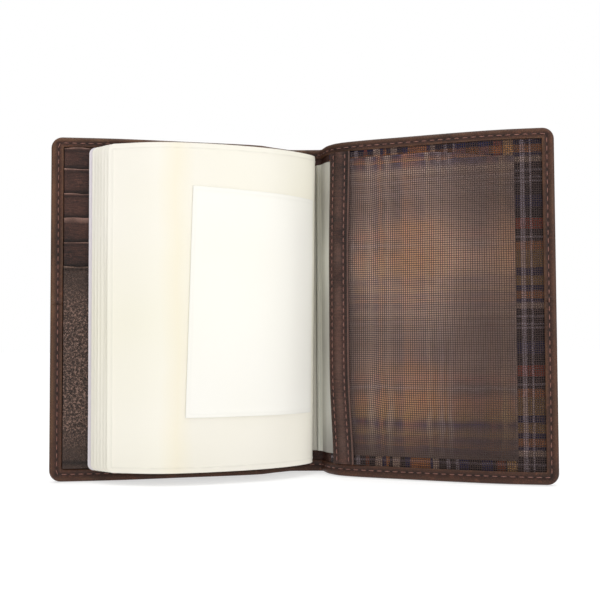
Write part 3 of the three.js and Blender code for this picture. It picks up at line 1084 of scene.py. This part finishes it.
def slot_piece(name, node, low, high, back, lean, sheet, material, slot, seed):
    """A strip or panel whose free upper edge is a little wavy and rolled."""
    side = "left"
    start = COVER_U[side] + PANEL_START
    end = TIP_U[side] - HEM[side][1] - HEM_GAP
    stations = grid_lines(start, end, 1.0)
    heights = grid_lines(low, high, 2.5, [(low, low + 4.2), (high - 2.4, high)], 0.3)

    def near(u, z):
        wave = 0.10 * ripple(u, z, 16, seed)
        return back + lean * (z - low) / (high - low) + wave * ease(z, low, high)

    def far(u, z):
        bead = 0.26 * bell(z - (high - 0.45), 0.38) - 0.16 * bell(z - (high - 1.35), 0.3)
        return near(u, z) + sheet + bead + 0.08 * ripple(u, z, 6, seed + 1)

    # painted highlight along the top of the lip, and painted shade under its bead and just above the next
    # piece's lip, where it tucks behind that piece
    def painted_light_and_tint(flat):
        u, z, _ = flat.T
        patchy = 0.7 + 0.4 * ripple(u, 0 * z, 7, seed + 3)
        highlight_and_tint = 0.9 * bell(z - (high - 0.15), 0.2) * patchy
        shade = 0.5 * bell(z - (high - 1.35), 0.4) + 0.75 * bell(z - (low + SLOT_TUCK + 0.4), 0.8)
        return highlight_and_tint, shade

    flat, faces = slab(stations, heights, near, far, rim=0.12)
    rise = ease(flat[:, 1], high - 4.0, high)
    flat[:, 1] += 0.28 * rise * ripple(flat[:, 0], 0 * flat[:, 0], 12, seed + 2)
    piece = make_piece(name, flat, faces, SKIN[side], material, slot, painted_light_and_tint)
    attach(piece, "left_cover")
    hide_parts(node)


def build_slots():
    lean = SLOT_SHEET + 0.4
    top = HEIGHT - HEM["left"][2] - HEM_GAP
    slot_piece("slot_backing", "slot_base_strip", SLOT_LIPS[0] - SLOT_TUCK, top, SLOT_BACK, lean,
               SLOT_SHEET, TRIM_LEATHER, "trim_leather", 20)
    for i, lip in enumerate(SLOT_LIPS):
        lower = SLOT_LIPS[i + 1] if i + 1 < len(SLOT_LIPS) else PANEL_LIP
        slot_piece(f"slot_strip_{i + 1}", f"card_slot_{i + 1}", lower - SLOT_TUCK, lip, SLOT_BACK, lean,
                   SLOT_SHEET, TRIM_LEATHER, "trim_leather", 30 + 3 * i)
    slot_piece("pebbled_panel", "front_panel", HEM["left"][0] + HEM_GAP, PANEL_LIP, SLOT_BACK + lean, 0.0,
               PANEL_SHEET, PANEL_LEATHER, "panel_leather", 50)


# ---- Right cover: binding and net ----

BINDING_EDGE = 12.0           # the front ply's turned edge, from the cover's fold
BINDING_ROWS = (5.2, 9.9)     # its stitch rows
BINDING_SECTION = [
    # (distance from the cover's fold, offset)
    # the front ply's turned edge and groove
    (11.9, 3.91), (BINDING_EDGE, 4.09), (11.85, 4.27), (11.5, 4.32), (11.15, 4.19), (10.9, 4.18),
    (10.4, 4.24),
    # the outer stitch row's groove, the crown, and the inner row's groove
    (BINDING_ROWS[1], 4.07), (9.4, 4.24), (8.6, 4.38), (7.6, 4.44), (6.6, 4.4), (5.7, 4.24),
    (BINDING_ROWS[0], 4.07),
    # round the fold at the pocket's mouth
    (4.75, 4.22), (4.2, 4.19), (3.7, 4.06), (3.35, 3.75), (3.3, 3.1), (3.5, 2.55), (4.2, 2.2),
    # the back ply, and back inside both plies
    (10.3, 2.2), (10.3, 2.8), (4.9, 2.8), (4.5, 3), (4.5, 3.65), (4.9, 3.85), (11.5, 3.85),
]
BINDING_CROWN, PUFF_LEVEL = 7.6, 4.18      # the puckers' middle, and the offset above which they show
STITCH_LEVEL = 4.09
NET_PITCH = (0.9, 0.89)       # between upright threads, and between level ones
NET_HELD = 3.35               # the net's offset between the binding's plies
NET_TUCKED = 1.62             # and under the hem
NET_SLACK = 1.2
NET_START = 7.2               # inside the binding, from the cover's fold
NET_UNDER = (1.2, 1.0)        # under the hem at the bottom and side, and at the top
NET_SHORT = 1.6               # how much shorter it is at each end beside the binding
NET_LONG_AGAIN = (20, 27)     # from the cover's fold, where they reach their full length
THREAD_HALF_WIDTH, THREAD_THICKNESS, THREAD_WEAVE = 0.132, 0.12, 0.08


def mouth_bow(z):
    """The pocket's mouth bows: its ends lie a little further from the spine than its middle."""
    return 0.9 * ease(z, 80, 138) ** 1.5 + 1.7 * ease(-z, -55, -4) ** 1.6 - 0.15


def binding_painted_light(flat):
    """Painted highlight along the binding's crown and its folded edge, and painted shade round its stitches
    and in the groove inside the folded edge.
    """
    u, z, offset = flat.T
    across = u - COVER_U["right"] - mouth_bow(z)
    front = offset > 4.1
    highlight_and_tint = 0.22 * bell(across - 7.9, 1.1) * (0.6 + 0.4 * ripple(0 * u, z, 15, 82))
    highlight_and_tint = highlight_and_tint + 0.55 * bell(across - 11.65, 0.13)
    shade = sum(0.7 * bell(across - row, 0.42) for row in BINDING_ROWS) + 0.8 * bell(across - 11.02, 0.18)
    return highlight_and_tint * front, shade * front


def build_binding():
    line, start = SKIN["right"], COVER_U["right"]
    section = [(start + away, offset) for away, offset in BINDING_SECTION]
    heights = grid_lines(HEM["right"][0] + HEM_GAP, HEIGHT - HEM["right"][2] - HEM_GAP, 2.0)
    flat, faces = sleeve(section, heights, mouth_bow)
    u, z, offset = flat.T
    puff = bell(u - mouth_bow(z) - start - BINDING_CROWN, 1.3) * (offset > PUFF_LEVEL)
    flat[:, 2] += 0.12 * puff * ripple(0 * z, z, 13, 60)
    binding = make_piece("pocket_binding", flat, faces, line, TRIM_LEATHER, "trim_leather", binding_painted_light)
    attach(binding, "right_cover")
    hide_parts("binding_front_ply", "binding_back_ply")
    rows = []
    for place in BINDING_ROWS:
        z = grid_lines(heights[0] + 0.6, heights[-1] - 0.6, 2.0)
        u = start + place + mouth_bow(z)
        track = np.column_stack([u, z, np.full(z.shape, STITCH_LEVEL)])
        rows.append(stitch_row(track, 1, pitch=2.9, length=2.3))
    thread = make_piece("binding_stitches", *joined(rows), line, THREAD, "thread", thread_hole_shade)
    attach(thread, "right_cover")


def net_level(u, z):
    """The net is held between the binding's plies, tucked under the hem, and slack in between."""
    side = "right"
    past = u - COVER_U[side] - mouth_bow(z) - BINDING_EDGE
    low, across, high = HEM[side]
    inside = np.minimum(z - low, HEIGHT - high - z)
    wall = TIP_U[side] - across - u
    free = ease(past, 0.0, 8.0)
    near_hem = np.minimum(inside, wall)
    tucked = free * (1 - ease(near_hem, 0.5, 9.0))
    share_u = np.clip(past / (TIP_U[side] - across - COVER_U[side] - BINDING_EDGE), 0, 1)
    share_z = np.clip((z - low) / (HEIGHT - low - high), 0, 1)
    slack = NET_SLACK * np.sin(math.pi * share_u) * np.sin(math.pi * share_z) * free
    return NET_HELD + (NET_TUCKED - NET_HELD) * tucked + slack


def thread_tubes(lines, across, over):
    """Three-sided woven threads, each with its ridge outwards. lines is (threads, stations, 3) flat
    points, across the index of the flat coordinate that lies across a thread, and over how far each
    station is lifted."""
    flat, faces = [], []
    stations = lines.shape[1]
    for thread, lift in zip(lines, over):
        ring = np.repeat(thread[:, None, :], 3, axis=1)
        ring[:, :, 2] += lift[:, None]
        ring[:, 0, across] -= THREAD_HALF_WIDTH
        ring[:, 2, across] += THREAD_HALF_WIDTH
        ring[:, (0, 2), 2] -= THREAD_THICKNESS / 2
        ring[:, 1, 2] += THREAD_THICKNESS
        faces += tube_faces(stations, 3, len(flat) * stations * 3)
        flat.append(ring.reshape(-1, 3))
    return np.vstack(flat), faces


def build_net():
    """The net reaches under the hem, except beside the binding, where its ends stop short of it."""
    side = "right"
    low, across, high = HEM[side]
    u = np.arange(COVER_U[side] + NET_START, TIP_U[side] - across + NET_UNDER[0], NET_PITCH[0])
    z = np.arange(low - NET_UNDER[0], HEIGHT - high + NET_UNDER[1], NET_PITCH[1])
    grid_u, grid_z = np.meshgrid(u, z, indexing="ij")
    middle = (z[0] + z[-1]) / 2
    short = 1 - ease(grid_u - COVER_U[side], *NET_LONG_AGAIN)
    grid_z = middle + (grid_z - middle) * (1 - NET_SHORT / (middle - z[0]) * short)
    drift_u = 0.12 * ripple(grid_u, grid_z, 40, 70)
    drift_z = 0.12 * ripple(grid_u, grid_z, 34, 71)
    bow = mouth_bow(grid_z) * (1 - ease(grid_u, COVER_U[side] + BINDING_EDGE, TIP_U[side] - 8))
    place = np.dstack([grid_u + drift_u + bow, grid_z + drift_z, np.zeros(grid_u.shape)])
    place[:, :, 2] = net_level(place[:, :, 0], place[:, :, 1])
    over = THREAD_WEAVE * (-1.0) ** np.add.outer(np.arange(len(u)), np.arange(len(z)))
    upright = thread_tubes(place, 0, over)
    level_threads = thread_tubes(place.transpose(1, 0, 2), 1, -over.T)
    net = make_piece("net_panel_threads", *joined([upright, level_threads]), SKIN[side], NETTING, "net")
    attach(net, "right_cover")
    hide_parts("net_panel")


# ---- Insert: root bar, leaves and card pocket ----

LEAF_LOW, LEAF_HIGH = 4.7, 135.3
LEAF_THICKNESS = 0.4
LEAF_WAVE = 0.25
WELD_INSET = 2.1
POCKET = {"from": 9.0, "to": 65.9, "low": 26.2, "high": 118.2}
POCKET_SHEET = 0.3
POCKET_SWELL = 14.0            # how far from its root side it reaches its full thickness
POCKET_ASKEW = (3.0, 2.2)      # how far its free side leans, and its top falls towards the root
LEAN = (-1.3, 2.1)             # the leaves' fold: its shift to the right at the foot, and what the top adds


def edge_distance(u, z, line):
    """Distance from a leaf's free edges, inwards, with rounded corners."""
    du = line.length - u
    dz = np.minimum(z - LEAF_LOW, LEAF_HIGH - z)
    corner = np.hypot(np.clip(LEAF_CORNER - du, 0, None), np.clip(LEAF_CORNER - dz, 0, None))
    return np.where((du < LEAF_CORNER) & (dz < LEAF_CORNER), LEAF_CORNER - corner, np.minimum(du, dz))


def leaf_painted_shade(u, z):
    """Share of painted shade over a leaf: darker towards its foot, and least near its free edge."""
    across = ease(u, 14, 30) * (1 - 0.75 * ease(u, 62, 80))
    return (0.045 + 0.06 * (1 - ease(z, 8, 105))) * across + 0.04 * (1 - ease(z, 4, 22))


def leaf_tint_and_shade(line, number):
    """A leaf's rim is tinted outside its weld, most of all on the lowest leaf. Its weld is a grey line, and
    it gets painted shade along its cut edge and over its face.
    """

    def painted_light_and_tint(flat):
        u, z, _ = flat.T
        inside = edge_distance(u, z, line)
        lowest = number == LEAF_COUNT
        rim = (1 - ease(inside, 1.5, 2.1)) * (0.75 if lowest else 0.02)
        patchy = 0.7 + 0.4 * ripple(u, z, 3, 90)
        weld = bell(inside - WELD_INSET, 0.2) * (1.0 if lowest else 0.14) * patchy
        # a dark line along the cut edge: painted shade in place of the thin shadows between the stacked
        # leaves
        cut = (0.3 if lowest else 0.12) * bell(inside, 0.14)
        return rim, weld + cut + leaf_painted_shade(u, z)

    return painted_light_and_tint


def leaf_wave(u, z, seed):
    """A leaf's waves, which die out towards its root."""
    return LEAF_WAVE * ease(u, 8, 40) * ripple(u, z, 70, seed)


def leaf_face(line, sign, seed):
    def offset(u, z):
        weld = 0.13 * bell(edge_distance(u, z, line) - WELD_INSET, 0.35)
        return sign * (LEAF_THICKNESS / 2 + weld) + leaf_wave(u, z, seed)

    return offset


def lean_piece(piece, u, number):
    """The leaves' fold leans: its top lies further right than its foot."""
    co = np.array([v.co for v in piece.data.vertices])
    share = (1 - ease(u, 6.0, 45.0)) * ease(u, 0.0, 6.0) * (1 - 0.4 * (number - 1) / LEAF_COUNT)
    co[:, 0] += share * (LEAN[0] + LEAN[1] * co[:, 2] / MM / HEIGHT) * MM
    piece.data.vertices.foreach_set("co", co.ravel())
    piece.data.update()


def squash_leaf(piece, number, line):
    """Attaches a leaf, or the pocket on it, to the leaf's body and gives it its own mesh. It finds the
    line's two ends, but does not use them.
    """
    root, tip = line.spot(0.0), line.spot(line.length)
    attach(piece, f"leaf_{number}")
    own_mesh(piece)


def build_leaf(number):
    line = leaf_line(number)
    ends = [(line.length - 4.0, line.length)]
    stations = corner_lines(grid_lines(0.0, line.length, 2.5, ends, 0.3), LEAF_CORNER, 12)
    ends = [(LEAF_LOW, LEAF_LOW + 4), (LEAF_HIGH - 4, LEAF_HIGH)]
    heights = grid_lines(LEAF_LOW, LEAF_HIGH, 4.0, ends, 0.3)
    near, far = (leaf_face(line, sign, number) for sign in (-1, 1))
    flat, faces = slab(stations, heights, near, far, radius=LEAF_CORNER, rim=0.12)
    painted_light_and_tint = leaf_tint_and_shade(line, number)
    piece = make_piece(f"sleeve_leaf_{number}", flat, faces, line, PAGE_VINYL, "vinyl_clear", painted_light_and_tint)
    lean_piece(piece, flat[:, 0], number)
    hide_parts(f"leaf_{number}")
    squash_leaf(piece, number, line)


def pocket_inside(u, z):
    """Distance from the pocket's three welded sides, inwards."""
    return np.minimum(POCKET["to"] - u, np.minimum(z - POCKET["low"], POCKET["high"] - z))


def pocket_back(u, z):
    """The offset of the pocket's back, just off the top leaf. It is thin where it nears the root."""
    side = pocket_inside(u, z)
    swell = ease(u, POCKET["from"], POCKET["from"] + POCKET_SWELL)
    belly = 0.35 * ease(side, 1.5, 14.0)
    return leaf_wave(u, z, 1) + LEAF_THICKNESS / 2 + 0.02 + swell * (0.12 + belly)


def pocket_front(u, z):
    swell = ease(u, POCKET["from"], POCKET["from"] + POCKET_SWELL)
    weld = 0.1 * bell(pocket_inside(u, z) - 1.5, 0.35)
    return pocket_back(u, z) + 0.05 + swell * (POCKET_SHEET + weld)


def build_pocket():
    """The small pocket is welded to the top leaf a little askew."""
    line = leaf_line(1)
    start, end, low, high = POCKET.values()
    stations = grid_lines(start, end, 2.0, [(end - 3, end)], 0.4)
    heights = grid_lines(low, high, 3.0, [(low, low + 3), (high - 3, high)], 0.4)
    flat, faces = slab(stations, heights, pocket_back, pocket_front, rim=0.1)
    u, z, _ = flat.T
    inside = pocket_inside(u, z)
    # dark lines along the pocket's edges and welds, and painted shade over it that grows towards its foot
    shade = 0.07 * bell(inside, 0.3) + 0.03 * bell(inside - 1.5, 0.3) + 0.03 + 0.03 * (1 - ease(z, 30, 75))
    up, out = (z - low) / (high - low), (u - start) / (end - start)
    shift = [out * POCKET_ASKEW[0] * (0.5 - up), -POCKET_ASKEW[1] * up * (1 - out), 0 * up]
    askew = flat + np.column_stack(shift)

    def painted_light_and_tint(_):
        return 0 * shade, shade

    piece = make_piece("small_card_pocket", askew, faces, line, POCKET_VINYL, "vinyl_clear", painted_light_and_tint)
    lean_piece(piece, askew[:, 0], 1)
    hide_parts("card_pocket")
    squash_leaf(piece, 1, line)


def root_front(u, _):
    """The root bar's front, with its weld ribs, rounded off at both sides."""
    middle = sum(ROOT_BAR) / 2
    round_off = 0.5 * (np.abs(u - middle) / (ROOT_BAR[1] - middle)) ** 6
    return ROOT_BAR_OFFSETS[1] - round_off + 0.12 * np.sin(u * 2.4)


# painted shade over the whole root bar
def root_painted_shade(flat):
    return 0 * flat[:, 0], ROOT_SHADE + 0 * flat[:, 0]


def build_root_bar():
    stations = grid_lines(*ROOT_BAR, 0.6)
    heights = grid_lines(FLAP_LOW, FLAP_HIGH, 2.0)
    flat, faces = slab(stations, heights, ROOT_BAR_OFFSETS[0], root_front, rim=0.25)
    bar = make_piece("sleeve_root", flat, faces, SKIN["whole"], PAGE_VINYL, "vinyl_clear", root_painted_shade)
    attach(bar, "spine")
    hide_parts("insert_root_bar")


# ---- Stage, light and camera, in metres ----

WHITE = (1.0, 1.0, 1.0, 1.0)
GREY = (0.5, 0.5, 0.5, 1.0)
AMBIENT = 0.27
MIDDLE = (0.0, 0.0, 0.07)
LAMPS = [
    # (name, place, diameter, power)
    ("key", (-0.35, -0.7, 0.75), 0.5, 1.82),
    ("fill", (0.6, -0.6, 0.35), 0.6, 2.3),
]
OVERHEAD_POWER, OVERHEAD_SPREAD = 2.1, 70.0
EYE = (0.00207, -0.379, 0.057)
EYE_TURN = (92.446, 0.24, 0.25)      # in degrees about X, Y and Z
LENS, SENSOR = 54.95, 36.0           # in millimetres


def build_floor():
    bpy.ops.mesh.primitive_circle_add(vertices=96, radius=4.0, fill_type="NGON", location=(0, 0, -0.0003))
    floor = bpy.context.object
    floor.name = "floor"
    s = Shader("pale_floor", Roughness=0.9, Specular_IOR_Level=0.1, Emission_Strength=0.6,
               Base_Color=GREY, Emission_Color=WHITE)
    floor.data.materials.append(s.material)


def build_world():
    """White to the camera, and dimmer as a light, so that dark leather stays dark."""
    world = bpy.data.worlds.new("studio")
    world.use_nodes = True
    nodes, links = world.node_tree.nodes, world.node_tree.links
    background = nodes["Background"]
    background.inputs["Color"].default_value = WHITE
    path = nodes.new("ShaderNodeLightPath")
    strength = nodes.new("ShaderNodeMapRange")
    strength.inputs["To Min"].default_value = AMBIENT
    strength.inputs["To Max"].default_value = 1.0
    links.new(path.outputs["Is Camera Ray"], strength.inputs["Value"])
    links.new(strength.outputs["Result"], background.inputs["Strength"])
    bpy.context.scene.world = world


def area_light(name, place, size, power):
    light = bpy.data.lights.new(name, "AREA")
    light.shape, light.size, light.energy = "DISK", size, power
    lamp = bpy.data.objects.new(name, light)
    lamp.location = place
    lamp.rotation_mode = "QUATERNION"
    lamp.rotation_quaternion = (Vector(MIDDLE) - Vector(place)).to_track_quat("-Z", "Y")
    bpy.context.scene.collection.objects.link(lamp)


def build_lights():
    for lamp in LAMPS:
        area_light(*lamp)
    overhead = bpy.data.lights.new("overhead", "SUN")
    overhead.energy, overhead.angle = OVERHEAD_POWER, math.radians(OVERHEAD_SPREAD)
    bpy.context.scene.collection.objects.link(bpy.data.objects.new("overhead", overhead))


def build_camera():
    """Level with the wallet's middle, in front of the open side."""
    camera = bpy.data.cameras.new("camera")
    camera.lens, camera.sensor_width = LENS, SENSOR
    eye = bpy.data.objects.new("camera", camera)
    eye.location = EYE
    eye.rotation_euler = [math.radians(turn) for turn in EYE_TURN]
    bpy.context.scene.collection.objects.link(eye)
    bpy.context.scene.camera = eye
    bpy.context.scene.view_settings.view_transform = "Standard"


# ---- The wallet ----


def stretches(side, end):
    """A sheet across both of a side's folds is made as two, which meet in the middle of the shoulder."""
    return ("spine", 0.0, MID_SHOULDER[side]), ("cover", MID_SHOULDER[side], end)


def finish_stiffeners():
    for side in SIDES:
        materials = frame["nodes"][f"{side}_stiffener"].data.materials
        materials.clear()
        materials.append(CARD)


build_camera()
for side in SIDES:
    for stretch in stretches(side, TIP_U[side]):
        build_outer_leather(side, *stretch)
for side in SIDES:
    build_cover_lining(side)
    for stretch in stretches(side, COVER_U[side] + GUTTER_LAP):
        build_gutter_lining(side, *stretch)
for side in SIDES:
    build_flap_fold(side)
    build_flap(side)
build_slots()
build_binding()
build_net()
build_root_bar()
for leaf in range(1, LEAF_COUNT + 1):
    build_leaf(leaf)
build_pocket()
finish_stiffeners()
build_floor()
build_world()
build_lights()
